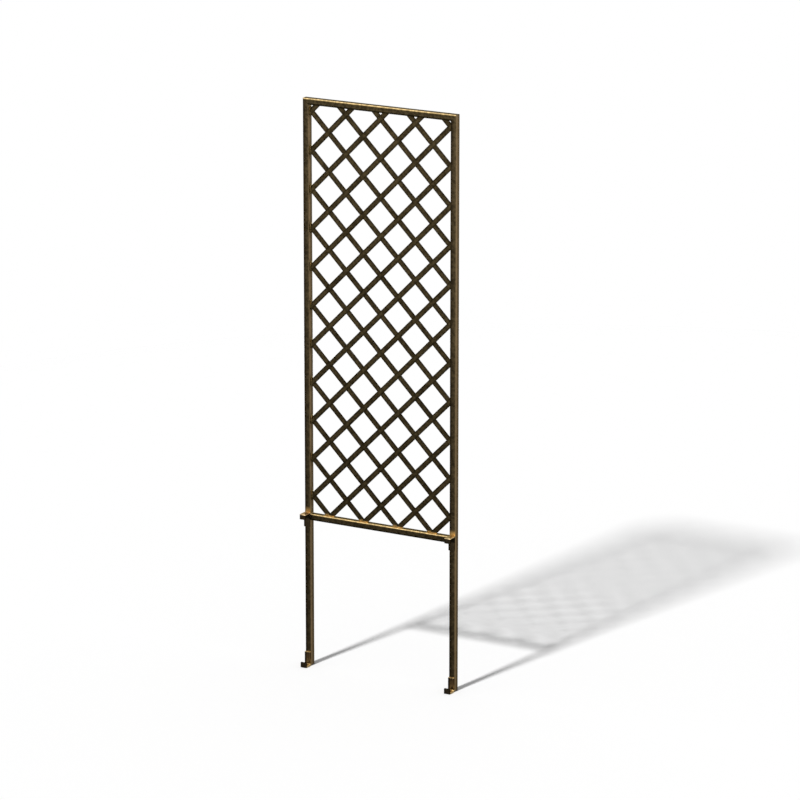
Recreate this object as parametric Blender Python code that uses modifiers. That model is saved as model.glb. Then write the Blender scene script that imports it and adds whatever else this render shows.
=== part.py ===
"""Garden trellis that clips to the back of a planter box.

Two square tube posts are joined by a mitred top rail and a lower rail. Flat bars fill
the frame at 45 degrees both ways, and are halved into each other where they cross, so
that they lie in one plane. Each post carries two bent plates on its front. The hook, at
the lower rail, goes over the planter's rim. The foot is the same plate turned over, and
takes the planter's base. All of it is welded, so nothing moves.
"""
from math import atan2, cos, pi, radians, sin, tan

import bmesh
import bpy
from mathutils import Matrix, Vector

# Square tube of the frame
TUBE_SIZE = 0.020
TUBE_WALL = 0.0015
TUBE_CORNER_RADIUS = 0.0015
TUBE_CORNER_STEPS = 3

# Frame: the post spacing is between centre lines, the heights are above the ground
POST_SPACING = 0.5128
FRAME_HEIGHT = 1.800
LOWER_RAIL_TOP = 0.4929

# Lattice: a pitch is the distance between crossings along a row. The pattern keeps its
# number of pitches across and up the frame's opening, so it stretches with the frame.
# The first row of crossings lies a part of a pitch below the opening's top.
BAR_WIDTH = 0.016
BAR_THICKNESS = 0.003
PITCHES_ACROSS = 4.076
PITCHES_UP = 10.646
FIRST_ROW_PITCHES = 0.1646

# Bent plate of the hooks and feet, as wide as the post: its reach is from the post's
# face to the lip's outer face, its leg and lip are measured over the plate's thickness
PLATE_THICKNESS = 0.006
PLATE_REACH = 0.0316
PLATE_LEG = 0.0455
PLATE_LIP = 0.0168
PLATE_INNER_RADIUS = 0.001
PLATE_BEND_STEPS = 6
PLATE_EDGE_ROUND = 0.0004
HOOK_RISE = 0.0046

# Plug in the lower end of each post
PLUG_HEAD = 0.002
PLUG_STEM = 0.014

# Space left at each welded or lapped joint
JOINT_GAP = 0.0003
# How far a cutter runs past what it cuts
OVERSHOOT = 0.004

PLATE_WIDTH = TUBE_SIZE
FRAME_PLANE_Y = PLATE_REACH / 2
POST_X = POST_SPACING / 2
OPENING_HALF_WIDTH = POST_X - TUBE_SIZE / 2
OPENING_BOTTOM = LOWER_RAIL_TOP
OPENING_TOP = FRAME_HEIGHT - TUBE_SIZE
PITCH_X = 2 * OPENING_HALF_WIDTH / PITCHES_ACROSS
PITCH_Z = (OPENING_TOP - OPENING_BOTTOM) / PITCHES_UP
FIRST_ROW_Z = OPENING_TOP - FIRST_ROW_PITCHES * PITCH_Z
BAR_ANGLE = atan2(PITCH_Z, PITCH_X)
POST_BOTTOM = PLUG_HEAD + JOINT_GAP

BRONZE = (0.055, 0.040, 0.022, 1.0)
BLACK_PLASTIC = (0.012, 0.012, 0.012, 1.0)


def clear_scene():
    """Removes the objects of the file that the script runs in."""
    for thing in list(bpy.data.objects):
        bpy.data.objects.remove(thing, do_unlink=True)


def new_collection(name):
    collection = bpy.data.collections.new(name)
    bpy.context.scene.collection.children.link(collection)
    return collection


def new_material(name, colour, roughness, metallic):
    material = bpy.data.materials.new(name)
    material.use_nodes = True
    shader = material.node_tree.nodes["Principled BSDF"]
    shader.inputs["Base Color"].default_value = colour
    shader.inputs["Roughness"].default_value = roughness
    shader.inputs["Metallic"].default_value = metallic
    material.diffuse_color = colour
    return material


def bronze(name):
    """Hammered bronze powder coat on steel, one material for each part."""
    return new_material(name + "_coat", BRONZE, 0.42, 0.85)


def add_object(name, mesh, collection, material=None):
    """Puts a mesh in a collection, under the empty that holds the frame's plane."""
    thing = bpy.data.objects.new(name, mesh)
    collection.objects.link(thing)
    thing.parent = frame_plane
    if material:
        mesh.materials.append(material)
    return thing


def box_mesh(name, size, centre=(0, 0, 0), turn=None, round_edges_along=None):
    """A box of the given size, turned and then moved to its centre.

    round_edges_along is the number of the axis whose four edges get the tube's
    corner radius.
    """
    body = bmesh.new()
    bmesh.ops.create_cube(body, size=1.0, matrix=Matrix.Diagonal((*size, 1.0)))
    if round_edges_along is not None:
        across = [axis for axis in range(3) if axis != round_edges_along]
        long_edges = [
            edge for edge in body.edges
            if all(abs(edge.verts[0].co[axis] - edge.verts[1].co[axis]) < 1e-6 for axis in across)
        ]
        bmesh.ops.bevel(
            body, geom=long_edges, offset=TUBE_CORNER_RADIUS, offset_type="OFFSET",
            segments=TUBE_CORNER_STEPS, profile=0.5, affect="EDGES",
        )
    place = Matrix.Translation(centre)
    if turn:
        place = place @ turn
    bmesh.ops.transform(body, matrix=place, verts=body.verts)
    mesh = bpy.data.meshes.new(name)
    body.to_mesh(mesh)
    body.free()
    return mesh


def add_cutter(name, mesh):
    cutter = add_object(name, mesh, cutters)
    cutter.hide_render = True
    cutter.display_type = "WIRE"
    return cutter


def cut(thing, cutter, operation="DIFFERENCE"):
    step = thing.modifiers.new(cutter.name, "BOOLEAN")
    step.operation = operation
    step.solver = "EXACT"
    step.object = cutter
    return step


def add_tube(name, axis, length, centre):
    """A length of the frame's square tube along one axis, open at both ends."""
    bore = TUBE_SIZE - 2 * TUBE_WALL
    outer = [TUBE_SIZE] * 3
    inner = [bore] * 3
    outer[axis] = length
    inner[axis] = length + 2 * OVERSHOOT
    tube = add_object(
        name, box_mesh(name, outer, centre, round_edges_along=axis), parts, bronze(name))
    cut(tube, add_cutter(name + "_bore", box_mesh(name + "_bore", inner, centre)))
    return tube


def mitre_cutter(name, side, keeps_post):
    """A block with one face on the top corner's mitre plane.

    It clears half a joint gap past the plane, so that the two ends don't touch.
    """
    block = 3 * TUBE_SIZE
    corner = Vector((side * POST_X, 0, FRAME_HEIGHT - TUBE_SIZE / 2))
    to_rail = Vector((-side, 0, 1)).normalized()
    away = to_rail if keeps_post else -to_rail
    centre = corner + away * (block / 2 - JOINT_GAP / 2)
    turn = Matrix.Rotation(radians(45), 4, "Y")
    return add_cutter(name, box_mesh(name, (block, block, block), centre, turn))


def add_frame():
    """Two posts, the mitred top rail and the lower rail."""
    post_length = FRAME_HEIGHT - POST_BOTTOM
    rail_z = FRAME_HEIGHT - TUBE_SIZE / 2
    outside_width = POST_SPACING + TUBE_SIZE
    top_rail = add_tube("top_rail", 0, outside_width, (0, 0, rail_z))
    for side, word in SIDES:
        centre = (side * POST_X, 0, POST_BOTTOM + post_length / 2)
        post = add_tube(word + "_post", 2, post_length, centre)
        cut(post, mitre_cutter(word + "_post_mitre", side, keeps_post=True))
        cut(top_rail, mitre_cutter(word + "_rail_mitre", side, keeps_post=False))
    inside_width = 2 * (OPENING_HALF_WIDTH - JOINT_GAP)
    add_tube("lower_rail", 0, inside_width, (0, 0, LOWER_RAIL_TOP - TUBE_SIZE / 2))


def bar_lines(direction):
    """The centre lines of one family of bars, as (middle x, middle z, length).

    Each line goes through a crossing of the first row, at a whole number of pitches
    from the middle, and is cut to the frame's opening. A corner piece shorter than a
    bar is wide is left out.
    """
    slope = direction * tan(BAR_ANGLE)
    steps = int(PITCHES_ACROSS + PITCHES_UP) + 1
    lines = []
    for step in range(-steps, steps + 1):
        row_x = step * PITCH_X
        ends = sorted((
            row_x + (OPENING_BOTTOM - FIRST_ROW_Z) / slope,
            row_x + (OPENING_TOP - FIRST_ROW_Z) / slope,
        ))
        left = max(ends[0], -OPENING_HALF_WIDTH)
        right = min(ends[1], OPENING_HALF_WIDTH)
        length = (right - left) / cos(BAR_ANGLE)
        if length > BAR_WIDTH:
            middle_x = (left + right) / 2
            middle_z = FIRST_ROW_Z + slope * (middle_x - row_x)
            lines.append((middle_x, middle_z, length))
    return lines


def bar_box(name, line, direction, width, front, back):
    """A straight strip along a line, from one depth to another."""
    middle_x, middle_z, length = line
    turn = Matrix.Rotation(-direction * BAR_ANGLE, 4, "Y")
    size = (length + 2 * BAR_WIDTH + OVERSHOOT, back - front, width)
    return box_mesh(name, size, (middle_x, (front + back) / 2, middle_z), turn)


def lap_cutter(name, lines, direction, front, back):
    """The strips that one family of bars takes out of the other, in one cutter."""
    body = bmesh.new()
    for line in lines:
        strip = bar_box("strip", line, direction, BAR_WIDTH + 2 * JOINT_GAP, front, back)
        body.from_mesh(strip)
        bpy.data.meshes.remove(strip)
    mesh = bpy.data.meshes.new(name)
    body.to_mesh(mesh)
    body.free()
    return add_cutter(name, mesh)


def add_lattice():
    """Flat bars both ways, halved into each other and cut to the frame's opening.

    A rising bar keeps its front half at a crossing, and a falling bar its back half.
    """
    opening_size = (
        2 * (OPENING_HALF_WIDTH - JOINT_GAP),
        BAR_THICKNESS + 2 * OVERSHOOT,
        OPENING_TOP - OPENING_BOTTOM - 2 * JOINT_GAP,
    )
    opening_centre = (0, 0, (OPENING_TOP + OPENING_BOTTOM) / 2)
    opening = add_cutter("opening", box_mesh("opening", opening_size, opening_centre))
    half = BAR_THICKNESS / 2
    rising = bar_lines(1)
    falling = bar_lines(-1)
    falling.reverse()
    behind = lap_cutter("falling_laps", falling, -1, -JOINT_GAP / 2, half + OVERSHOOT)
    before = lap_cutter("rising_laps", rising, 1, -half - OVERSHOOT, JOINT_GAP / 2)
    for word, lines, direction, laps in (
        ("rising_bar", rising, 1, behind),
        ("falling_bar", falling, -1, before),
    ):
        for number, line in enumerate(lines, 1):
            name = "%s_%02d" % (word, number)
            mesh = bar_box(name, line, direction, BAR_WIDTH, -half, half)
            bar = add_object(name, mesh, parts, bronze(name))
            cut(bar, opening, "INTERSECT")
            cut(bar, laps)


def plate_path():
    """The bent plate's outer line in (y, z), from the leg's end to the lip's end."""
    outer_radius = PLATE_INNER_RADIUS + PLATE_THICKNESS
    back = -TUBE_SIZE / 2 - JOINT_GAP
    front = -TUBE_SIZE / 2 - PLATE_REACH
    turns = [pi / 2 * step / PLATE_BEND_STEPS for step in range(PLATE_BEND_STEPS + 1)]
    first_bend = [
        (back - outer_radius + outer_radius * cos(turn), outer_radius - outer_radius * sin(turn))
        for turn in turns
    ]
    second_bend = [
        (front + outer_radius - outer_radius * sin(turn), outer_radius - outer_radius * cos(turn))
        for turn in turns
    ]
    return [(back, PLATE_LEG), *first_bend, *second_bend, (front, PLATE_LIP)]


def bent_plate_mesh(name):
    """The plate's outer surface, an open sheet that Solidify thickens inwards."""
    body = bmesh.new()
    rows = [
        [body.verts.new((x, y, z)) for x in (-PLATE_WIDTH / 2, PLATE_WIDTH / 2)]
        for y, z in plate_path()
    ]
    for row, following in zip(rows, rows[1:]):
        body.faces.new((row[0], row[1], following[1], following[0]))
    mesh = bpy.data.meshes.new(name)
    body.to_mesh(mesh)
    body.free()
    return mesh


def add_bent_plate(name, x, z, turned_over):
    plate = add_object(name, bent_plate_mesh(name), parts, bronze(name))
    plate.location = (x, 0, z)
    if turned_over:
        plate.rotation_euler = (0, pi, 0)
    wall = plate.modifiers.new("thickness", "SOLIDIFY")
    wall.thickness = PLATE_THICKNESS
    wall.offset = -1
    wall.use_even_offset = True
    rounding = plate.modifiers.new("edges", "BEVEL")
    rounding.width = PLATE_EDGE_ROUND
    rounding.segments = 1
    rounding.limit_method = "ANGLE"
    rounding.angle_limit = radians(60)
    return plate


def add_hooks_and_feet():
    """A hook at the lower rail and a foot on the ground, on the front of each post."""
    for side, word in SIDES:
        add_bent_plate(word + "_foot", side * POST_X, 0, turned_over=False)
        add_bent_plate(word + "_hook", side * POST_X, LOWER_RAIL_TOP + HOOK_RISE, turned_over=True)


def add_foot_plugs():
    """A plastic plug in the open lower end of each post, flush with the tube outside."""
    stem_size = TUBE_SIZE - 2 * TUBE_WALL - 2 * JOINT_GAP
    for side, word in SIDES:
        name = word + "_foot_plug"
        head = box_mesh(
            name, (TUBE_SIZE, TUBE_SIZE, PLUG_HEAD), (side * POST_X, 0, PLUG_HEAD / 2),
            round_edges_along=2)
        colour = new_material(name + "_plastic", BLACK_PLASTIC, 0.5, 0.0)
        plug = add_object(name, head, parts, colour)
        stem_length = PLUG_STEM + PLUG_HEAD / 2
        stem = box_mesh(
            name + "_stem", (stem_size, stem_size, stem_length),
            (side * POST_X, 0, PLUG_HEAD / 2 + stem_length / 2))
        cut(plug, add_cutter(name + "_stem", stem), "UNION")


SIDES = ((-1, "left"), (1, "right"))

clear_scene()
parts = new_collection("garden_trellis")
cutters = new_collection("garden_trellis_cutters")
frame_plane = bpy.data.objects.new("frame_plane", None)
frame_plane.location = (0, FRAME_PLANE_Y, 0)
parts.objects.link(frame_plane)

add_frame()
add_lattice()
add_hooks_and_feet()
add_foot_plugs()
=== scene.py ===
from math import ceil, cos, floor, pi, radians, sin, sqrt

import bmesh
import bpy
import numpy as np
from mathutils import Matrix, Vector


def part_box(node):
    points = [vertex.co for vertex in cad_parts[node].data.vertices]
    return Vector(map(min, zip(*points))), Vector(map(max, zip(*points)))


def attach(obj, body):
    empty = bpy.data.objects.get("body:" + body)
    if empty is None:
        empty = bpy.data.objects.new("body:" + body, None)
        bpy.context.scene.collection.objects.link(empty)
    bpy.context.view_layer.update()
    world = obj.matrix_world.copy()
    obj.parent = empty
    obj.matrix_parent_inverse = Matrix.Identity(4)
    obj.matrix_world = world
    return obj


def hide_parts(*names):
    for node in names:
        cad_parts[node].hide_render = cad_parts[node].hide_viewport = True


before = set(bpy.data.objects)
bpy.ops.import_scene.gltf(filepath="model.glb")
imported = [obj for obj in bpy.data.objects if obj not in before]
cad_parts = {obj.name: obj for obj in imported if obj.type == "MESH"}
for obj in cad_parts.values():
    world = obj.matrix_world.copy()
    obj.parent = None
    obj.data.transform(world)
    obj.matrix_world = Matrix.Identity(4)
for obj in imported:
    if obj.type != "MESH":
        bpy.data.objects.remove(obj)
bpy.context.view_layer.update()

CAMERA_AZIMUTH = radians(30)
CAMERA_ELEVATION = radians(15)
CAMERA_DISTANCE = 13.8856
CAMERA_LENS = 205.74
CAMERA_AIM = Vector((0.0673, 0.0159, 0.8972))
CAMERA_SEES = 200.0

camera = bpy.data.objects.new("camera", bpy.data.cameras.new("camera"))
bpy.context.scene.collection.objects.link(camera)
bpy.context.scene.camera = camera
camera.data.lens = CAMERA_LENS
camera.data.clip_end = CAMERA_SEES
camera.location = CAMERA_AIM + CAMERA_DISTANCE * Vector((
    sin(CAMERA_AZIMUTH) * cos(CAMERA_ELEVATION),
    -cos(CAMERA_AZIMUTH) * cos(CAMERA_ELEVATION),
    sin(CAMERA_ELEVATION),
))
camera.rotation_euler = (pi / 2 - CAMERA_ELEVATION, 0, CAMERA_AZIMUTH)
bpy.context.scene.view_settings.view_transform = "Standard"


# The room is white all round, with one soft lamp high in front. The paper on the floor
# keeps the shadow near the trellis, and fades into the white of the room further out.
class Wire:
    """One output of a node tree. Arithmetic on it adds the Math nodes that do it."""

    def __init__(self, tree, socket=None):
        self.tree = tree
        self.socket = socket

    def node(self, kind, inputs=None, output=0, stops=None, **settings):
        """Adds a node of any type, sets it, feeds its sockets and gives one output."""
        made = self.tree.nodes.new("ShaderNode" + kind)
        for setting, value in settings.items():
            setattr(made, setting, value)
        if stops:
            ramp = made.color_ramp.elements
            while len(ramp) < len(stops):
                ramp.new(1.0)
            for element, (place, colour) in zip(ramp, stops):
                element.position = place
                element.color = colour
        for key, value in (inputs or {}).items():
            if isinstance(value, Wire):
                self.tree.links.new(value.socket, made.inputs[key])
            else:
                made.inputs[key].default_value = value
        return Wire(self.tree, made.outputs[output]) if made.outputs else None

    def maths(self, operation, *values):
        return self.node("Math", dict(enumerate(values)), operation=operation)

    def __add__(self, other):
        return self.maths("ADD", self, other)

    def __sub__(self, other):
        return self.maths("SUBTRACT", self, other)

    def __rsub__(self, other):
        return self.maths("SUBTRACT", other, self)

    def __mul__(self, other):
        return self.maths("MULTIPLY", self, other)

    def __truediv__(self, other):
        return self.maths("DIVIDE", self, other)

    __radd__ = __add__
    __rmul__ = __mul__

    def larger(self, other):
        return self.maths("MAXIMUM", self, other)

    def smaller(self, other):
        return self.maths("MINIMUM", self, other)

    def step(self, low, high):
        """0 at low, 1 at high, held beyond them, with a smooth rise between."""
        return self.node(
            "MapRange", {0: self, 1: low, 2: high}, interpolation_type="SMOOTHSTEP")

    def step_at(self, base, span):
        """A step over a span that is measured from a base."""
        return self.step(base + span[0], base + span[1])

    def grow(self, span, least):
        """A share that grows from a least value to 1 over a span."""
        return self.step(*span) * (1 - least) + least

    def part(self, axis):
        """The X, Y or Z of a vector."""
        return self.node("SeparateXYZ", {0: self}, output="XYZ".index(axis))

    def tint(self, colour):
        """A colour made lighter or darker by this value."""
        return self.node("VectorMath", {0: colour, "Scale": self}, operation="SCALE")

    def blend(self, first, second):
        """A colour between two, where this value is the second one's share."""
        return self.node("Mix", {0: self, 6: first, 7: second}, output=2, data_type="RGBA")


ROOM_WHITE = 1.0
ROOM_SOFT_LIGHT = 0.313
LAMP_TURN = radians(-7.57)
LAMP_ELEVATION = radians(43.34)
LAMP_ANGLE = radians(5.36)
LAMP_STRENGTH = 3.02
PAPER_ALBEDO = 0.85
PAPER_ALBEDO_SEEN = 1.029
PAPER_HALF = 20.0
PAPER_SINK = 0.0002
PAPER_FADE = (2.6, 4.4)
PAPER_CENTRE = (0.25, 0.9, 0.0)
PAPER_CORNERS = ((-1, -1), (1, -1), (1, 1), (-1, 1))

room = bpy.data.worlds.new("room")
bpy.context.scene.world = room
room.use_nodes = True
room.node_tree.nodes.clear()
room_wires = Wire(room.node_tree)
shown = (
    room_wires.node("LightPath", output="Is Camera Ray")
    .larger(room_wires.node("LightPath", output="Is Glossy Ray"))
    .larger(room_wires.node("LightPath", output="Is Transmission Ray")))
room_strength = shown * (ROOM_WHITE - ROOM_SOFT_LIGHT) + ROOM_SOFT_LIGHT
room_light = room_wires.node("Background", {0: (1, 1, 1, 1), 1: room_strength})
room_wires.node("OutputWorld", {0: room_light})

lamp = bpy.data.objects.new("lamp", bpy.data.lights.new("lamp", "SUN"))
bpy.context.scene.collection.objects.link(lamp)
lamp.rotation_euler = (pi / 2 - LAMP_ELEVATION, 0, LAMP_TURN)
lamp.data.angle = LAMP_ANGLE
lamp.data.energy = LAMP_STRENGTH

paper = bpy.data.materials.new("paper")
paper.use_nodes = True
paper.node_tree.nodes.clear()
paper_wires = Wire(paper.node_tree)
on_paper = paper_wires.node("TexCoord", output="Object")
from_centre = paper_wires.node(
    "VectorMath", {0: on_paper, 1: PAPER_CENTRE}, operation="SUBTRACT")
distance = paper_wires.node("VectorMath", {0: from_centre}, output="Value", operation="LENGTH")
white_share = paper_wires.node("LightPath", output="Is Camera Ray")
albedo = white_share * (PAPER_ALBEDO_SEEN - PAPER_ALBEDO) + PAPER_ALBEDO
paper_colour = paper_wires.node("CombineColor", {0: albedo, 1: albedo, 2: albedo})
matt = paper_wires.node("BsdfDiffuse", {0: paper_colour})
clear = paper_wires.node("BsdfTransparent")
faded = paper_wires.node("MixShader", {0: distance.step(*PAPER_FADE), 1: matt, 2: clear})
paper_wires.node("OutputMaterial", {0: faded})

floor_mesh = bpy.data.meshes.new("floor")
floor_mesh.from_pydata(
    [(x * PAPER_HALF, y * PAPER_HALF, -PAPER_SINK) for x, y in PAPER_CORNERS], [],
    [(0, 1, 2, 3)])
floor_mesh.materials.append(paper)
ground = bpy.data.objects.new("floor", floor_mesh)
bpy.context.scene.collection.objects.link(ground)

# The frame is 20 mm square steel tube with small rolled corners and a 1.5 mm wall: two
# posts, a top rail mitred into them and a lower rail cut square between them. All of it
# has a dark bronze powder coat with a hammered face. Its colour holds painted light:
# gold painted highlights along the lit edges, painted reflections and painted shade.
TUBE = 0.020
TUBE_WALL = 0.0015
TUBE_CORNER = 0.0015
CORNER_STEPS = 6
JOINT_GAP = 0.0003
PITCHES_ACROSS = 4.076
FIRST_ROW_PITCHES = 0.1646
SHARP_ANGLE = radians(38)
SAME_POINT = 1e-6

COAT_TINT = (0.36, 0.34, 0.28, 1)
CLOUD_SIZE = 0.045
CLOUD_DETAIL = 3.0
CLOUD_RANGE = (0.34, 0.66)
CLOUD_SHARE = 0.24
SHADE_SIZE = 0.0085
SHADE_DETAIL = 4.0
SHADE_RANGE = (0.36, 0.64)
SHADE_SHARE = 0.62
FLAKE_SIZE = 0.0009
FLAKE_RANGE = (0.7, 1.0)
FLAKE_SHARE = 0.5
DARKEST_SHARE = 0.5
SHARE_AT_GROUND = 0.77
SHARE_PER_METRE = 0.44
HAMMER_SIZE = 0.0052
HAMMER_SOFTNESS = 0.6
HAMMER_DEPTH = 0.0006
HAMMER_STRENGTH = 0.35
PEEL_SIZE = 0.0016
PEEL_DETAIL = 2.0
PEEL_SHARE = 0.25
COAT_ROUGHNESS = 0.27
SHADE_ROUGHNESS = 0.14

left_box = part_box("left_post")
lower_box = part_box("lower_rail")
top_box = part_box("top_rail")
POST_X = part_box("right_post")[1].x - TUBE / 2
HALF_OPENING = POST_X - TUBE / 2
PLANE_Y = (left_box[0].y + left_box[1].y) / 2
FRONT_Y = left_box[0].y
POST_FOOT = left_box[0].z
FRAME_TOP = top_box[1].z
RAIL_TOP = lower_box[1].z
PITCH = 2 * HALF_OPENING / PITCHES_ACROSS
OPENING_TOP = FRAME_TOP - TUBE
FIRST_ROW_Z = OPENING_TOP - FIRST_ROW_PITCHES * PITCH
HOOK_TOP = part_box("left_hook")[1].z


def coat(name, tones):
    """Hammered bronze powder coat on steel.

    tones makes the coat's colour from the wires, the place and a light factor. That
    factor holds the mottling: wide clouds, small shades from hammer mark to hammer
    mark, and fine metal flakes. It also grows with height, so the coat is a little
    paler towards the top. The marks are rounded hollows with an orange peel
    between them, and the gloss varies with the shades.
    """
    material = bpy.data.materials.new(name)
    material.use_nodes = True
    shader = material.node_tree.nodes["Principled BSDF"]
    wires = Wire(material.node_tree)
    place = wires.node("TexCoord", output="Object")
    clouds = wires.node(
        "TexNoise", {"Vector": place, "Scale": 1 / CLOUD_SIZE, "Detail": CLOUD_DETAIL})
    shades = wires.node(
        "TexNoise", {"Vector": place, "Scale": 1 / SHADE_SIZE, "Detail": SHADE_DETAIL})
    flakes = wires.node(
        "TexVoronoi", {"Vector": place, "Scale": 1 / FLAKE_SIZE}, output="Color").part("Y")
    hollows = wires.node(
        "TexVoronoi",
        {"Vector": place, "Scale": 1 / HAMMER_SIZE, "Smoothness": HAMMER_SOFTNESS},
        feature="SMOOTH_F1")
    peel = wires.node(
        "TexNoise", {"Vector": place, "Scale": 1 / PEEL_SIZE, "Detail": PEEL_DETAIL})
    shade = shades.step(*SHADE_RANGE)
    mottle = clouds.step(*CLOUD_RANGE) * CLOUD_SHARE + shade * SHADE_SHARE
    mottle = mottle + flakes.step(*FLAKE_RANGE) * FLAKE_SHARE + DARKEST_SHARE
    light = (place.part("Z") * SHARE_PER_METRE + SHARE_AT_GROUND) * mottle
    colour = tones(wires, place, light)
    height = peel * PEEL_SHARE + hollows
    bump = wires.node(
        "Bump", {"Strength": HAMMER_STRENGTH, "Distance": HAMMER_DEPTH, "Height": height})
    rough = shade * SHADE_ROUGHNESS + COAT_ROUGHNESS
    for socket, wire in (("Base Color", colour), ("Roughness", rough), ("Normal", bump)):
        material.node_tree.links.new(wire.socket, shader.inputs[socket])
    shader.inputs["Metallic"].default_value = 1.0
    shader.inputs["Specular Tint"].default_value = COAT_TINT
    return material


def build(name, shells, material, replaces=()):
    """Joins grids of points into one closed mesh and puts it on the object.

    A grid has a row for each place along the piece and a column for each point round
    it. Columns always join up round the piece. Rows join up too where ring is true.
    """
    points, faces, first = [], [], 0
    for grid, ring in shells:
        rows, columns, _ = grid.shape
        row = np.arange(rows if ring else rows - 1)[:, None]
        column = np.arange(columns)[None, :]
        after = (row + 1) % rows
        beside = (column + 1) % columns
        quads = np.stack(
            [row * columns + column, row * columns + beside,
             after * columns + beside, after * columns + column], -1)
        points.append(grid.reshape(-1, 3))
        faces.append(quads.reshape(-1, 4) + first)
        first += rows * columns
    mesh = bpy.data.meshes.new(name)
    mesh.from_pydata(np.concatenate(points).tolist(), [], np.concatenate(faces).tolist())
    body = bmesh.new()
    body.from_mesh(mesh)
    bmesh.ops.remove_doubles(body, verts=body.verts, dist=SAME_POINT)
    bmesh.ops.recalc_face_normals(body, faces=body.faces)
    body.to_mesh(mesh)
    body.free()
    mesh.shade_smooth()
    mesh.set_sharp_from_angle(angle=SHARP_ANGLE)
    mesh.materials.append(material)
    piece = bpy.data.objects.new(name, mesh)
    bpy.context.scene.collection.objects.link(piece)
    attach(piece, "root")
    if replaces:
        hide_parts(*replaces)
    return piece


def rounded_section(width, depth, radius, steps=CORNER_STEPS):
    """Points (a, b) round a rectangle with round corners.

    Each point is a corner's centre plus the radius times (cos, sin) of an angle that
    runs through a quarter turn for each corner.
    """
    quarter = np.linspace(0, pi / 2, steps + 1)
    angle = quarter[None, :] + np.arange(4)[:, None] * pi / 2
    signs = np.array([(1, 1), (-1, 1), (-1, -1), (1, -1)])
    centre = signs * (np.array([width, depth]) / 2 - radius)
    points = centre[:, None, :] + radius * np.stack([np.cos(angle), np.sin(angle)], -1)
    return points.reshape(-1, 2)


def square_tube(axis, centre, low, high, low_lean=0, high_lean=0):
    """A square tube along X or Z, with its bore, as one closed ring of rows.

    The section's points (a, b) run along the tube to low + low_lean * a at one end and
    high + high_lean * a at the other, so a lean of 1 or -1 is a mitre. The rows go down
    the outside, over the end, back up the bore, and over the first end.
    """
    outer = rounded_section(TUBE, TUBE, TUBE_CORNER)
    bore = TUBE - 2 * TUBE_WALL
    inner = rounded_section(bore, bore, TUBE_CORNER - TUBE_WALL)
    section = np.stack([outer, outer, inner, inner])
    along = np.array([low, high, high, low])[:, None]
    lean = np.array([low_lean, high_lean, high_lean, low_lean])[:, None]
    a, b = section[..., 0], section[..., 1]
    run = along + lean * a
    if axis == "Z":
        return np.stack([centre[0] + a, centre[1] + b, run], -1)
    return np.stack([run, centre[0] + b, centre[1] + a], -1)


# Each row is a way and the colour there. The ways start at the front face's middle line
# and run round the corner and over the face beside it. The colours are painted light and
# shade. On the posts: painted shade towards the left corner, a painted highlight along the
# front right corner, and a paler, lit face beside it. On the rails: painted shade along the
# lower corner, a gold painted highlight along the front top corner, and a paler top face.
POST_TONES = (
    (-0.010, (0.010, 0.007, 0.0035, 1)),
    (-0.0055, (0.021, 0.0148, 0.0072, 1)),
    (0.001, (0.037, 0.027, 0.0135, 1)),
    (0.0064, (0.041, 0.030, 0.0145, 1)),
    (0.0096, (0.118, 0.082, 0.042, 1)),
    (0.0132, (0.245, 0.174, 0.098, 1)),
    (0.0180, (0.125, 0.092, 0.056, 1)),
    (0.0300, (0.110, 0.086, 0.060, 1)),
)
TOP_RAIL_TONES = (
    (-0.010, (0.005, 0.0038, 0.0013, 1)),
    (-0.0065, (0.010, 0.0075, 0.0030, 1)),
    (-0.0036, (0.041, 0.0300, 0.0145, 1)),
    (0.0010, (0.034, 0.0250, 0.0120, 1)),
    (0.0050, (0.031, 0.0225, 0.0100, 1)),
    (0.0068, (0.172, 0.119, 0.045, 1)),
    (0.0083, (0.660, 0.483, 0.220, 1)),
    (0.0100, (0.600, 0.438, 0.222, 1)),
    (0.0117, (0.300, 0.225, 0.132, 1)),
    (0.0185, (0.101, 0.084, 0.061, 1)),
)
LOWER_RAIL_TONES = (
    (-0.010, (0.005, 0.0038, 0.0013, 1)),
    (-0.0065, (0.009, 0.0065, 0.0025, 1)),
    (-0.0038, (0.036, 0.0265, 0.0130, 1)),
    (0.0056, (0.029, 0.0210, 0.0100, 1)),
    (0.0071, (0.200, 0.137, 0.054, 1)),
    (0.0085, (0.930, 0.670, 0.300, 1)),
    (0.0104, (0.970, 0.710, 0.340, 1)),
    (0.0124, (0.450, 0.335, 0.185, 1)),
    (0.0185, (0.135, 0.110, 0.075, 1)),
)
TONES_END = 1.5 * TUBE
PLAIN_BEHIND_END = 0.004
RIGHT_POST_SHARE = 1.07
# Where the painted highlight begins, and how much it evens out the mottling there
HIGHLIGHT_WAY = (0.0055, 0.0100)
HIGHLIGHT_SHARE = 0.75
WHOLE_PITCHES = 100

# A gold painted reflection of the hook's top on the post's front, just above the hook
HOOK_REFLECTED_GOLD = {-1: (0.320, 0.196, 0.068), 1: (0.430, 0.272, 0.102)}
HOOK_GOLD_TOP = (0.021, 0.002)
HOOK_GOLD_FOOT = (-0.004, 0.0)
HOOK_GOLD_DEPTH = (0.0016, 0.0006)
HOOK_GOLD_ACROSS = (0.002, 0.009)
HOOK_GOLD_LEAST = 0.6

# A gold painted reflection of the lower rail's top edge, on the post's inner face where that
# edge meets it
INNER_SKIN = (0.0030, 0.0010)
SEAM_GOLD = (0.80, 0.60, 0.32, 1)
SEAM_FOOT = (-0.005, -0.003)
SEAM_TOP = (0.004, 0.001)
SEAM_DEPTH = (0.012, 0.004)

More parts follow.
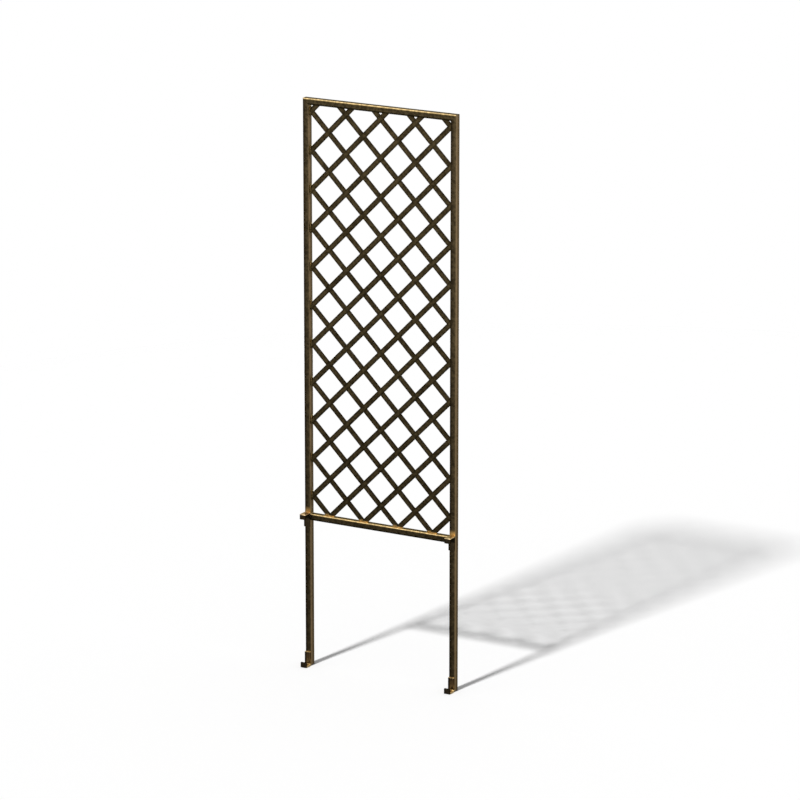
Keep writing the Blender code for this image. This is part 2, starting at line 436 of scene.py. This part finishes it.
# A brown painted glow on the post's inner face beside the bar ends, over the bars' dark
# reflection there, and painted shade for some way round it
ABOVE_RAIL = (0.004, 0.008)
BAR_END_GLOW_BROWN = (0.46, 0.385, 0.185, 1)
BAR_END_GLOW_SHARE = 0.9
BAR_END_GLOW_OVER = 0.0025
BAR_END_GLOW_REACH = (0.0150, 0.0110)
BAR_END_GLOW_DEPTH = (0.0010, 0.0045)
BAR_SHADE_SHARE = 0.40
BAR_SHADE_UNDER = 0.003
BAR_SHADE_REACH = (0.038, 0.014)
BAR_SHADE_DEPTH = (0.001, -0.002)

# A brighter gold painted highlight on the lower rail's top near each pair of bars
PAIR_GOLD_FRONT = (0.88, 0.58, 0.24, 1)
PAIR_GOLD_BACK = (1.0, 0.74, 0.34, 1)
PAIR_REACH = (0.0240, 0.0120)
PAIR_GOLD_DEPTH = (0.002, 0.0085)
TOP_SKIN = (-0.0012, -0.0004)
BEFORE_BARS = (-0.0005, -0.0015)
RIDGE = (-0.005, -0.002)
RIDGE_DULLER = 0.2


def from_left(place, side):
    """How far a place is from the left edge of a post and of its plates."""
    return place.part("X") - (side * POST_X - TUBE / 2)


def tone_round_tube(wires, across, depth, tones, light, plain_behind=False):
    """The coat's colour by the way round the tube.

    across and depth are measured from the tube's middle. Their sum plus half the tube
    runs on evenly over the front face and then over the face beside it, so one ramp
    serves for both. The ramp's colours are painted light and shade. It runs the same way
    over the two other faces, where the sign of across less depth turns round, or it stops
    there before the corner with the painted highlight. The painted highlight and the face
    beyond it take less of the light factor's changes.
    """
    turn = wires.maths("SIGN", across - depth)
    way = turn * (across + depth) + TUBE / 2
    if plain_behind:
        half = (TONES_END - PLAIN_BEHIND_END) / 2
        way = way.smaller(turn * half + (TONES_END - half))
    stops = [((far + TUBE / 2) / (2 * TUBE), colour) for far, colour in tones]
    plain = wires.node("ValToRGB", {0: (way + TUBE / 2) / (2 * TUBE)}, stops=stops)
    # The painted highlight and the face beyond it take less of the light factor's mottling
    highlighted = way.step(*HIGHLIGHT_WAY) * HIGHLIGHT_SHARE
    return (light + (1.0 - light) * highlighted).tint(plain)


def to_line(wires, place, first):
    """How far a place is from the nearest of the lines that repeat with the pitch.

    One of them is at first. Half a pitch further on, the fraction of the place by the
    pitch is a half at each line, so the fraction less a half, without its sign, gives
    the way to the line in pitches. The whole pitches keep the fraction's input positive.
    """
    pitches = (place - first) / PITCH + (WHOLE_PITCHES + 0.5)
    return wires.maths("ABSOLUTE", wires.maths("FRACT", pitches) - 0.5) * PITCH


def post_tones(side):
    """Post colours: painted shade to the left, a painted highlight along the front right
    corner.

    The right post is a little paler than the left one. On the front, just above the hook,
    is a gold painted reflection of the hook's top, and on the inner face where the lower
    rail's top edge meets it, a gold painted reflection of that edge. Beside the bar ends,
    which stand a whole number of pitches below the first row, the inner face has a brown
    painted glow over the bars' dark reflection, and painted shade for some way above and
    below them.
    """
    share = RIGHT_POST_SHARE if side > 0 else 1.0
    stops = [(far, (share * red, share * green, share * blue, 1))
             for far, (red, green, blue, _) in POST_TONES]

    def tones(wires, place, light):
        rise, depth = place.part("Z"), place.part("Y")
        plain = tone_round_tube(
            wires, place.part("X") - side * POST_X, depth - PLANE_Y, stops, light)
        # Painted reflection: gold on the front just above the hook, lighter to the right
        at_hook = rise.step_at(HOOK_TOP, HOOK_GOLD_TOP) * rise.step_at(HOOK_TOP, HOOK_GOLD_FOOT)
        at_hook = at_hook * depth.step_at(FRONT_Y, HOOK_GOLD_DEPTH)
        across = from_left(place, side).grow(HOOK_GOLD_ACROSS, HOOK_GOLD_LEAST)
        colour = at_hook.blend(plain, across.tint(HOOK_REFLECTED_GOLD[side]))
        # Painted reflection of the rail's gold top edge on the inner face
        inner = (place.part("X") * side).step_at(HALF_OPENING, INNER_SKIN)
        seam = rise.step_at(RAIL_TOP, SEAM_FOOT) * rise.step_at(RAIL_TOP, SEAM_TOP)
        seam = inner * seam * depth.step_at(FRONT_Y, SEAM_DEPTH)
        colour = seam.blend(colour, SEAM_GOLD)
        # Brown painted glow beside the bar ends, and painted shade for some way round them
        beside = inner * rise.step_at(RAIL_TOP, ABOVE_RAIL) * depth.step_at(FRONT_Y, BAR_END_GLOW_DEPTH)
        glowing = to_line(wires, rise, FIRST_ROW_Z + BAR_END_GLOW_OVER).step(*BAR_END_GLOW_REACH)
        bar_shade = to_line(wires, rise, FIRST_ROW_Z - BAR_SHADE_UNDER).step(*BAR_SHADE_REACH)
        bar_shade = bar_shade * (1.0 - glowing) * beside * depth.step_at(PLANE_Y, BAR_SHADE_DEPTH)
        colour = (1.0 - bar_shade * BAR_SHADE_SHARE).tint(colour)
        return (glowing * beside * BAR_END_GLOW_SHARE).blend(colour, BAR_END_GLOW_BROWN)
    return tones


def rail_tones(middle, stops):
    """Rail colours: painted shade below, a gold painted highlight along the front top corner.
    """
    def tones(wires, place, light):
        return tone_round_tube(
            wires, place.part("Z") - middle, place.part("Y") - PLANE_Y, stops, light,
            plain_behind=True)
    return tones


def lower_rail_tones(wires, place, light):
    """The lower rail's colours, with a brighter gold painted highlight on its top near
    each pair of bars.

    The bars meet the rail in pairs, half a pitch from the middle and then each pitch.
    Between the pairs the painted highlight along the ridge is a little duller.
    """
    plain = rail_tones(RAIL_TOP - TUBE / 2, LOWER_RAIL_TONES)(wires, place, light)
    # Painted highlight: brighter near each pair of bars, a little duller between them
    near = to_line(wires, place.part("X"), PITCH / 2).step(*PAIR_REACH)
    ridge = place.part("Z").step_at(RAIL_TOP, RIDGE)
    plain = (1.0 - ridge * (1.0 - near) * RIDGE_DULLER).tint(plain)
    on_top = place.part("Z").step_at(RAIL_TOP, TOP_SKIN)
    before = place.part("Y").step_at(PLANE_Y, BEFORE_BARS)
    towards_bars = place.part("Y").step_at(FRONT_Y, PAIR_GOLD_DEPTH)
    gold = towards_bars.blend(PAIR_GOLD_FRONT, PAIR_GOLD_BACK)
    return (near * on_top * before).blend(plain, gold)


SIDES = ((-1, "left"), (1, "right"))
MITRE_GAP = JOINT_GAP / sqrt(2)
for side, word in SIDES:
    post = square_tube(
        "Z", (side * POST_X, PLANE_Y), POST_FOOT, FRAME_TOP - TUBE / 2 - MITRE_GAP,
        high_lean=side)
    build(word + "_post_tube", [(post, True)], coat(word + "_post_coat", post_tones(side)),
          [word + "_post"])
top = square_tube(
    "X", (PLANE_Y, FRAME_TOP - TUBE / 2), -POST_X + MITRE_GAP, POST_X - MITRE_GAP,
    low_lean=-1, high_lean=1)
build("top_rail_tube", [(top, True)],
      coat("top_rail_coat", rail_tones(FRAME_TOP - TUBE / 2, TOP_RAIL_TONES)),
      ["top_rail"])
lower = square_tube(
    "X", (PLANE_Y, RAIL_TOP - TUBE / 2), lower_box[0].x, lower_box[1].x)
build("lower_rail_tube", [(lower, True)], coat("lower_rail_coat", lower_rail_tones),
      ["lower_rail"])


# The lattice is 16 by 3 mm flat bar with rolled edges, half a millimetre wider with its
# coat: 15 bars each way at 45 degrees. They are cut to the frame and halved into each
# other where they cross, so that both faces are flush.
BAR_WIDTH = 0.0165
BAR_THICKNESS = 0.003
BAR_EDGE = 0.0004
BAR_EDGE_STEPS = 3
PITCHES_UP = 10.646
DIAGONAL = sqrt(0.5)

BAR_BRONZE = (0.0363, 0.0264, 0.0120)
BAR_EDGE_WAY = (0.0015, 0.0065)
BAR_EDGE_DARKER = 0.42
BAR_NEAR_POST = (-0.014, -0.001)
BAR_NEAR_POST_PALER = 0.45
# Gold painted reflection of the rail's top at the foot of each bar
BAR_GOLD = (0.45, 0.300, 0.118, 1)
BAR_GOLD_TOP = 0.0062
BAR_GOLD_LEAN = 0.0022
BAR_GOLD_FULL = 0.0006


def bar_tones(direction):
    """Bar colours: bronze, darker to both edges, and a gold painted reflection of the rail's
    top where bars stand on the rail.

    The coat is a little paler near a post. With z counted from the
    first row, x less z (or plus z) is a whole number of pitches on every centre line of
    the rising (or falling) bars, and how far it is from the nearest one, times DIAGONAL,
    is how far across the bar a place is from its middle.
    """
    def tones(wires, place, light):
        lines = place.part("X") - direction * place.part("Z")
        from_middle = to_line(wires, lines, -direction * FIRST_ROW_Z) * DIAGONAL
        darker = from_middle.step(*BAR_EDGE_WAY) * BAR_EDGE_DARKER
        # A little paler near a post
        held = wires.maths("ABSOLUTE", place.part("X")).step_at(HALF_OPENING, BAR_NEAR_POST)
        shares = light * (1.0 - darker) * (1.0 + held * BAR_NEAR_POST_PALER)
        # Gold painted reflection of the rail's top at the foot of each bar
        low = place.part("Z").step(
            RAIL_TOP + BAR_GOLD_TOP - direction * BAR_GOLD_LEAN, RAIL_TOP + BAR_GOLD_FULL)
        return low.blend(shares.tint(BAR_BRONZE), BAR_GOLD)
    return tones


def bar_ends(row_x, direction):
    """Where a bar's centre line meets the frame, as lengths from its first row crossing.

    A bar runs along (1, direction) * DIAGONAL in x and z from (row_x, FIRST_ROW_Z).
    """
    across = sorted((x - row_x) / DIAGONAL for x in (-HALF_OPENING, HALF_OPENING))
    up = sorted(direction * (z - FIRST_ROW_Z) / DIAGONAL for z in (RAIL_TOP, OPENING_TOP))
    return max(across[0], up[0]), min(across[1], up[1])


def lattice_bar(row_x, direction):
    """One flat bar, with its laps, closed at both ends by a pole.

    A point at (a, b) of the section and s along the bar is the bar's first row crossing
    plus s along the bar, a across it and b in depth. Each end is cut by the frame: s is
    held between the upright and level planes of the opening. Inside a lap, b is held to
    the bar's own half of the thickness.
    """
    section = rounded_section(BAR_WIDTH, BAR_THICKNESS, BAR_EDGE, BAR_EDGE_STEPS)
    a, b = section[:, 0], section[:, 1]
    edge = HALF_OPENING - JOINT_GAP
    across = [(x - row_x) / DIAGONAL + direction * a for x in (-edge, edge)]
    levels = [
        direction * ((z - FIRST_ROW_Z) / DIAGONAL - a)
        for z in (RAIL_TOP + JOINT_GAP, OPENING_TOP - JOINT_GAP)]
    low = np.maximum(across[0], np.minimum(*levels))
    high = np.minimum(across[1], np.maximum(*levels))
    first, last = bar_ends(row_x, direction)
    lap = BAR_WIDTH / 2 + JOINT_GAP
    step = PITCH * DIAGONAL
    rows = [(low, 0)]
    for k in range(ceil((first - lap) / step), floor((last + lap) / step) + 1):
        start, end = k * step - lap, k * step + lap
        rows += [(start, 0), (start, 1), (end, 1), (end, 0)]
    rows += [(high, 0)]
    along = np.stack([np.clip(np.broadcast_to(s, a.shape), low, high) for s, _ in rows])
    lapped = np.array([cut for _, cut in rows])[:, None]
    half = JOINT_GAP / 2
    own_half = np.minimum(b, -half) if direction > 0 else np.maximum(b, half)
    depth = np.where(lapped > 0, own_half, b)
    poles = [np.full((1, len(a)), along[row].mean()) for row in (0, -1)]
    on_line = np.zeros((1, len(a)))
    across_bar = np.concatenate([on_line, np.broadcast_to(a, along.shape), on_line])
    depth = np.concatenate([on_line, depth, on_line])
    along = np.concatenate([poles[0], along, poles[1]])
    x = row_x + (along - direction * across_bar) * DIAGONAL
    z = FIRST_ROW_Z + (direction * along + across_bar) * DIAGONAL
    return np.stack([x, PLANE_Y + depth, z], -1)


bar_lines = []
for word, direction in (("rising", 1), ("falling", -1)):
    bar_coat = coat(word + "_bar_coat", bar_tones(direction))
    steps = int(PITCHES_ACROSS + PITCHES_UP) + 1
    found = []
    for k in range(-steps, steps + 1):
        first, last = bar_ends(k * PITCH, direction)
        if last - first > BAR_WIDTH:
            found.append((k * PITCH, first, last))
    if direction < 0:
        found.reverse()
    for number, (row_x, first, last) in enumerate(found, 1):
        name = "%s_bar_%02d" % (word, number)
        build(name + "_flat", [(lattice_bar(row_x, direction), False)], bar_coat,
              [name])
        bar_lines.append((row_x, direction, first, last))


# The hooks and feet are one bent piece each: 20 by 6 mm flat bar with softened edges,
# bent twice into a U with a long leg, and welded to the post's front by the leg.
PLATE_WIDTH = TUBE
PLATE_THICKNESS = 0.006
PLATE_EDGE = 0.0006
PLATE_EDGE_STEPS = 3
PLATE_OUTER_BEND = 0.002
PLATE_INNER_BEND = 0.001
PLATE_LIP = 0.0168
BEND_STEPS = 8
hook_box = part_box("left_hook")
PLATE_LEG = hook_box[1].z - hook_box[0].z
LIP_Y = hook_box[0].y
LEG_Y = hook_box[1].y

# Feet: the colours, and the spans over which they change in height, across the plate
# from its left edge, or in depth from the lip's front
FOOT_COOL = (0.044, 0.027, 0.0130, 1)
FOOT_WARM = (0.072, 0.044, 0.0180, 1)
FOOT_WARMEST = (0.130, 0.078, 0.028, 1)
FOOT_LIP = (0.026, 0.019, 0.011)
# Gold painted highlight on the seat and the leg's end
FOOT_GOLD = (0.60, 0.44, 0.21, 1)
WARM_HEIGHT = (0.042, 0.024)
WARMEST_HEIGHT = (0.022, 0.010)
PATCH_FOOT = (0.011, 0.016)
PATCH_TOP = (0.027, 0.020)
PATCH_ACROSS = (0.006, 0.010)
PATCH_SHARE = 0.8
FOOT_LEG_ACROSS = (0.0042, 0.0085)
FOOT_LEG_LEAST = 0.20
FOOT_LEG_RIGHT = (0.012, 0.018)
FOOT_LEG_RIGHT_SHARE = 0.2
LEG_END = (-0.0010, -0.0003)
FOOT_LIP_ACROSS = (0.001, 0.007)
FOOT_LIP_LEAST = 0.35
FOOT_LIP_DEPTH = (0.0056, 0.0046)
SEAT_DEPTH = (0.0056, 0.0064)
SEAT_HEIGHT = (0.0082, 0.0062)
FOOT_LIGHT_SHARE = 0.6

# Hooks: the same, with drops below the top in place of heights
HOOK_BRONZE = (0.034, 0.025, 0.0135)
HOOK_LIP = (0.028, 0.0205, 0.0115)
# Painted shade in the hollow under the hook's top
HOOK_HOLLOW_SHADE = (0.010, 0.008, 0.0045, 1)
# Gold painted highlight over the hook's top, brighter on the right hook
HOOK_TOP_HIGHLIGHT = {-1: (0.50, 0.36, 0.20, 1), 1: (0.62, 0.47, 0.25, 1)}
HOLLOW_DEPTH = (0.0055, 0.0066)
HOLLOW_TOP = (0.0042, 0.0056)
HOLLOW_FOOT = (0.021, 0.016)
HOOK_LEG_ACROSS = (0.0020, 0.0075)
HOOK_LEG_LEAST = 0.25
HOOK_LEG_RIGHT = (0.011, 0.018)
HOOK_LEG_RIGHT_SHARE = 0.3
HOOK_LIP_ACROSS = (0.001, 0.010)
HOOK_LIP_LEAST = 0.5
HOOK_LIP_DEPTH = (0.0078, 0.0058)
HOOK_HIGHLIGHT_DROP = (0.0030, 0.0010)
HOOK_LIGHT_SHARE = 0.7


def foot_tones(side):
    """Foot colours: a dark lip, a warm leg, and gold painted highlights on the seat and the
    leg's end.

    The leg is warmer towards the ground in a painted reflection of the gold seat, darker
    to the left in painted shade, and has one paler patch of painted light. The lip is
    darker to the left in painted shade too.
    """
    def tones(wires, place, light):
        rise = place.part("Z")
        reach = place.part("Y") - LIP_Y
        left = from_left(place, side)
        # Warmer towards the ground: a painted reflection of the gold seat
        leg = rise.step(*WARM_HEIGHT).blend(FOOT_COOL, FOOT_WARM)
        leg = rise.step(*WARMEST_HEIGHT).blend(leg, FOOT_WARMEST)
        # One paler patch of painted light, and painted shade to the left
        patch = rise.step(*PATCH_FOOT) * rise.step(*PATCH_TOP) * left.step(*PATCH_ACROSS)
        shares = left.grow(FOOT_LEG_ACROSS, FOOT_LEG_LEAST)
        shares = shares + left.step(*FOOT_LEG_RIGHT) * FOOT_LEG_RIGHT_SHARE
        leg = (shares + patch * PATCH_SHARE).tint(leg)
        # Gold painted highlight on the leg's end
        leg = rise.step_at(PLATE_LEG, LEG_END).blend(leg, FOOT_GOLD)
        # The lip is darker to the left in painted shade
        lip = left.grow(FOOT_LIP_ACROSS, FOOT_LIP_LEAST).tint(FOOT_LIP)
        colour = reach.step(*FOOT_LIP_DEPTH).blend(leg, lip)
        # Gold painted highlight on the seat
        seat = reach.step(*SEAT_DEPTH) * rise.step(*SEAT_HEIGHT)
        colour = seat.blend(colour, FOOT_GOLD)
        return (light * FOOT_LIGHT_SHARE + (1 - FOOT_LIGHT_SHARE)).tint(colour)
    return tones


def hook_tones(side):
    """Hook colours: a gold painted highlight over the top, a dark lip, and painted shade in
    the hollow under the top.

    The right hook's painted highlight is brighter than the left one's, and so is the
    painted reflection on the post just above it. Leg and lip are darker to the left in
    painted shade, and the leg is paler to the right in painted light.
    """
    def tones(wires, place, light):
        drop = HOOK_TOP - place.part("Z")
        reach = place.part("Y") - LIP_Y
        left = from_left(place, side)
        # Painted shade in the hollow under the top, and painted shade to the left
        hollow = reach.step(*HOLLOW_DEPTH) * drop.step(*HOLLOW_TOP) * drop.step(*HOLLOW_FOOT)
        shares = left.grow(HOOK_LEG_ACROSS, HOOK_LEG_LEAST)
        shares = shares + left.step(*HOOK_LEG_RIGHT) * HOOK_LEG_RIGHT_SHARE
        lip = left.grow(HOOK_LIP_ACROSS, HOOK_LIP_LEAST).tint(HOOK_LIP)
        colour = reach.step(*HOOK_LIP_DEPTH).blend(shares.tint(HOOK_BRONZE), lip)
        colour = hollow.blend(colour, HOOK_HOLLOW_SHADE)
        # Gold painted highlight over the top of the hook
        colour = drop.step(*HOOK_HIGHLIGHT_DROP).blend(colour, HOOK_TOP_HIGHLIGHT[side])
        return (light * HOOK_LIGHT_SHARE + (1 - HOOK_LIGHT_SHARE)).tint(colour)
    return tones


def bent_plate(x, z, up):
    """A bent flat bar as a section carried along a path, closed by a pole at each end.

    The path runs down the leg, round a quarter circle, along the base, round a second
    one and up the lip. Its outer line and its inner line have bends of their own, and a
    section's point stands between them by its share of the thickness. The end rows
    shrink on a quarter circle, which softens the cut ends.
    """
    quarter = np.linspace(0, pi / 2, BEND_STEPS + 1)
    soft = np.linspace(0, pi / 2, PLATE_EDGE_STEPS + 1)
    shrink = PLATE_EDGE * (1 - np.cos(soft))
    ease = PLATE_EDGE * (1 - np.sin(soft))
    leg_rows = np.concatenate([[PLATE_LEG], PLATE_LEG - ease[::-1]])
    lip_rows = np.concatenate([PLATE_LIP - ease, [PLATE_LIP]])
    inset = np.concatenate([[1], shrink[::-1], np.zeros(2 * len(quarter)), shrink, [1]])

    def line(gap, radius):
        """One line of the plate, gap inside its outer face, as rows of (y, z)."""
        swing, sink = radius * (1 - np.cos(quarter)), radius * (1 - np.sin(quarter))
        return np.stack([
            np.concatenate([leg_rows * 0 + LEG_Y - gap, LEG_Y - gap - swing,
                            LIP_Y + gap + sink, lip_rows * 0 + LIP_Y + gap]),
            np.concatenate([leg_rows, gap + sink, gap + swing, lip_rows])], -1)

    section = rounded_section(PLATE_WIDTH, PLATE_THICKNESS, PLATE_EDGE, PLATE_EDGE_STEPS)
    a, b = (np.sign(part) * np.maximum(np.abs(part) - inset[:, None], 0) for part in section.T)
    share = (0.5 + b / PLATE_THICKNESS)[..., None]
    outer = line(0.0, PLATE_OUTER_BEND)[:, None]
    inner = line(PLATE_THICKNESS, PLATE_INNER_BEND)[:, None]
    grid = inner + (outer - inner) * share
    return np.stack([x + a, grid[..., 0], z + (grid[..., 1] if up else -grid[..., 1])], -1)


PLATES = (("foot", foot_tones, 0.0, True), ("hook", hook_tones, HOOK_TOP, False))
for side, word in SIDES:
    for kind, tones, z, up in PLATES:
        name = word + "_" + kind
        build(name + "_plate", [(bent_plate(side * POST_X, z, up), False)],
              coat(name + "_coat", tones(side)), [name])

# Weld beads hold the pieces together: in front and behind each bar end, at the ends of
# the lower rail, inside the mitred corners, and round the legs of the feet and hooks.
# They have the same coat, painted a lighter brown than the frame: painted light over
# the joints.
BEAD_RADIUS = 0.0014
BEAD_RIPPLE = 0.0032
BEAD_SUNK = 0.0003
BEAD_ROWS = 11
BEAD_COLUMNS = 6
RIPPLE_DEPTH = 0.12
MOSTLY_DEPTH = 0.9
RAIL_BEAD = 0.0016
LEG_BEAD = 0.0009
END_BEAD = 0.0016
END_REACH = TUBE / 2 - TUBE_CORNER
LEG_BEAD_IN = 0.0001
BEND_CLEAR = 0.008
LEG_END_CLEAR = 0.002

# A brown painted glow, lighter than the frame's coat; the redder patches are random
WELD_BROWN = (0.36, 0.250, 0.118, 1)
WELD_RED = (0.30, 0.192, 0.076, 1)
WELD_RED_SCALE = 260.0
WELD_RED_RANGE = (0.4, 0.6)
# Gold painted highlight on the beads along the lower rail's top edge
WELD_RAIL_GOLD = (0.50, 0.365, 0.175, 1)
WELD_ON_RAIL = (0.0035, 0.0022)
# Painted shade on the post beads beside and just below a bar's end
WELD_DULL = (0.165, 0.128, 0.060, 1)
WELD_DULL_UNDER = 0.007
WELD_DULL_REACH = (0.0130, 0.0080)
WELD_AT_POST = (-0.003, -0.002)
# Gold painted highlight on the beads at the top of the hooks
WELD_HOOK_GOLD = (0.62, 0.42, 0.185, 1)
WELD_HOOK_FOOT = (-0.004, -0.001)
WELD_HOOK_TOP = (0.006, 0.003)
WELD_HOOK_DEPTH = (0.002, 0.001)
WELD_LIGHT_SHARE = 0.5


def weld_tones(wires, place, light):
    """Weld colours: a warm brown painted glow, redder in patches, and gold painted
    highlights on the rail and at the hooks.

    The beads on the posts are duller beside a bar's end and just below it, in painted shade.
    """
    rise = place.part("Z")
    red = wires.node("TexNoise", {"Vector": place, "Scale": WELD_RED_SCALE})
    # Brown painted glow, redder in random patches
    brown = red.step(*WELD_RED_RANGE).blend(WELD_BROWN, WELD_RED)
    # Gold painted highlight on the beads at the rail's top
    on_rail = wires.maths("ABSOLUTE", rise - RAIL_TOP).step(*WELD_ON_RAIL)
    brown = on_rail.blend(brown, WELD_RAIL_GOLD)
    # Painted shade beside and just below a bar's end
    dull = to_line(wires, rise, FIRST_ROW_Z - WELD_DULL_UNDER).step(*WELD_DULL_REACH)
    dull = dull * wires.maths("ABSOLUTE", place.part("X")).step_at(HALF_OPENING, WELD_AT_POST)
    brown = (dull * (1.0 - on_rail)).blend(brown, WELD_DULL)
    # Gold painted highlight on the beads at the hooks' top
    gold = rise.step_at(HOOK_TOP, WELD_HOOK_FOOT) * rise.step_at(HOOK_TOP, WELD_HOOK_TOP)
    gold = gold * place.part("Y").step_at(FRONT_Y, WELD_HOOK_DEPTH)
    colour = gold.blend(brown, WELD_HOOK_GOLD)
    return (light * WELD_LIGHT_SHARE + (1 - WELD_LIGHT_SHARE)).tint(colour)


def bead(start, end, radius):
    """A straight weld bead as a closed string of rounded ripples, ready to build.

    The radius along the bead is the given one, less a little in each ripple's hollow by
    a cosine. It drops to nothing at both ends as the root of one less t to the fourth
    power, where t runs from -1 to 1, which makes the ends blunt.
    """
    start, end = np.array(start), np.array(end)
    length = np.linalg.norm(end - start)
    along = (end - start) / length
    lean = (1.0, 0.0, 0.0) if abs(along[1]) > MOSTLY_DEPTH else (0.0, 1.0, 0.0)
    side = np.cross(along, lean)
    side /= np.linalg.norm(side)
    over = np.cross(side, along)
    share = 0.5 - 0.5 * np.cos(np.linspace(0, pi, BEAD_ROWS))
    swell = np.sqrt(np.clip(1 - (2 * share - 1) ** 4, 0, 1))
    wave = np.cos(2 * pi * share * length / BEAD_RIPPLE)
    ripple = 1 - RIPPLE_DEPTH + RIPPLE_DEPTH * wave
    r = (radius * swell * ripple)[:, None, None]
    turn = np.linspace(0, 2 * pi, BEAD_COLUMNS, endpoint=False)[None, :, None]
    middle = start + (share * length)[:, None, None] * along
    return middle + r * (np.cos(turn) * side + np.sin(turn) * over), False


lattice_beads = []
for row_x, direction, first, last in bar_lines:
    for s in (first, last):
        x, z = row_x + s * DIAGONAL, FIRST_ROW_Z + direction * s * DIAGONAL
        reach = BAR_WIDTH * DIAGONAL
        for face in (-1, 1):
            y = PLANE_Y + face * (BAR_THICKNESS / 2 + BEAD_SUNK)
            if HALF_OPENING - abs(x) < SAME_POINT:
                x_bead = np.sign(x) * (HALF_OPENING - BEAD_SUNK)
                low = (x_bead, y, max(z - reach, RAIL_TOP))
                high = (x_bead, y, min(z + reach, OPENING_TOP))
            else:
                z_bead = z - BEAD_SUNK if z > FIRST_ROW_Z else z + BEAD_SUNK
                low = (max(x - reach, -HALF_OPENING), y, z_bead)
                high = (min(x + reach, HALF_OPENING), y, z_bead)
            lattice_beads.append(bead(low, high, BEAD_RADIUS))
weld_coat = coat("weld_coat", weld_tones)
build("lattice_welds", lattice_beads, weld_coat)

rail_beads, leg_beads = [], []
near, far = PLANE_Y - TUBE / 2 + RAIL_BEAD, PLANE_Y + TUBE / 2 - RAIL_BEAD
y = FRONT_Y - BEAD_SUNK
foot_leg = (BEND_CLEAR, PLATE_LEG - LEG_END_CLEAR)
hook_leg = (HOOK_TOP - PLATE_LEG + LEG_END_CLEAR, HOOK_TOP - BEND_CLEAR)
for side, _ in SIDES:
    inner = side * (HALF_OPENING - BEAD_SUNK)
    for z in (RAIL_TOP + BEAD_SUNK, RAIL_TOP - TUBE - BEAD_SUNK, OPENING_TOP - BEAD_SUNK):
        rail_beads.append(bead((inner, near, z), (inner, far, z), RAIL_BEAD))
    for low, high in (foot_leg, hook_leg):
        for edge in (-1, 1):
            x = side * POST_X + edge * (TUBE / 2 - LEG_BEAD - LEG_BEAD_IN)
            leg_beads.append(bead((x, y, low), (x, y, high), LEG_BEAD))
    for z in (PLATE_LEG + BEAD_SUNK, HOOK_TOP - BEAD_SUNK, HOOK_TOP - PLATE_LEG - BEAD_SUNK):
        left, right = side * POST_X - END_REACH, side * POST_X + END_REACH
        leg_beads.append(bead((left, y, z), (right, y, z), END_BEAD))
build("rail_welds", rail_beads, weld_coat)
build("bracket_welds", leg_beads, weld_coat)

# The lower end of each post is closed by a black moulded plug, pressed in, with a
# rounded head as wide as the tube.
PLUG_HEAD = 0.0020
PLUG_ROUND = 0.0006
PLUG_ROUND_STEPS = 4
PLUG_STEM = 0.014
PLUG_RIB = 0.0004
PLUG_RIBS = 4
PLUG_RIB_START = 0.4
PLUG_RIB_RISE = 0.001

PLUG_BLACK = (0.010, 0.010, 0.011, 1)
PLUG_SCUFFED = (0.035, 0.034, 0.033, 1)
SCUFF_SCALE = 240.0
SCUFF_DETAIL = 4.0
SCUFF_RANGE = (0.5, 0.8)
SCUFF_ROUGHNESS = 0.3
PLUG_ROUGHNESS = 0.4
PLUG_SHINE = 0.3
GRAIN_SCALE = 2500.0
GRAIN_DETAIL = 3.0
GRAIN_STRENGTH = 0.3
GRAIN_DEPTH = 0.0001
plug_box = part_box("left_foot_plug")


def plug(x):
    """A moulded plug as rounded square rows from its head up its ribbed stem.

    The head's lower edge is a quarter circle. Each rib steps out to the bore's width and
    tapers back above it, like a saw's tooth. A pole closes each end.
    """
    quarter = np.linspace(0, pi / 2, PLUG_ROUND_STEPS + 1)
    low = plug_box[0].z
    bore = TUBE - 2 * TUBE_WALL - 2 * JOINT_GAP
    rows = [(low, 0.0)]
    rows += list(zip(low + PLUG_ROUND * (1 - np.cos(quarter)),
                     TUBE - 2 * PLUG_ROUND * (1 - np.sin(quarter))))
    stem = bore - 2 * PLUG_RIB
    rows += [(low + PLUG_HEAD, TUBE), (low + PLUG_HEAD, stem)]
    for rib in range(PLUG_RIBS):
        start = low + PLUG_HEAD + (rib + PLUG_RIB_START) * PLUG_STEM / PLUG_RIBS
        rows += [(start, stem), (start, bore), (start + PLUG_RIB_RISE, bore - PLUG_RIB)]
    top = low + PLUG_HEAD + PLUG_STEM
    rows += [(top, stem), (top, 0.0)]
    section = rounded_section(1.0, 1.0, TUBE_CORNER / TUBE)
    z, width = (np.array(values)[:, None] for values in zip(*rows))
    across = x + width * section[:, 0]
    depth = PLANE_Y + width * section[:, 1]
    return np.stack([across, depth, np.broadcast_to(z, across.shape)], -1)


plastic = bpy.data.materials.new("plug_plastic")
plastic.use_nodes = True
plastic_shader = plastic.node_tree.nodes["Principled BSDF"]
plastic_wires = Wire(plastic.node_tree)
on_plug = plastic_wires.node("TexCoord", output="Object")
grain = plastic_wires.node(
    "TexNoise", {"Vector": on_plug, "Scale": GRAIN_SCALE, "Detail": GRAIN_DETAIL})
scuffs = plastic_wires.node(
    "TexNoise", {"Vector": on_plug, "Scale": SCUFF_SCALE, "Detail": SCUFF_DETAIL})
plug_colour = scuffs.step(*SCUFF_RANGE).blend(PLUG_BLACK, PLUG_SCUFFED)
plug_rough = scuffs * SCUFF_ROUGHNESS + PLUG_ROUGHNESS
plug_bump = plastic_wires.node(
    "Bump", {"Strength": GRAIN_STRENGTH, "Distance": GRAIN_DEPTH, "Height": grain})
for socket, wire in (
        ("Base Color", plug_colour), ("Roughness", plug_rough), ("Normal", plug_bump)):
    plastic.node_tree.links.new(wire.socket, plastic_shader.inputs[socket])
plastic_shader.inputs["Specular IOR Level"].default_value = PLUG_SHINE
for side, word in SIDES:
    build(word + "_plug", [(plug(side * POST_X), False)], plastic,
          [word + "_foot_plug"])
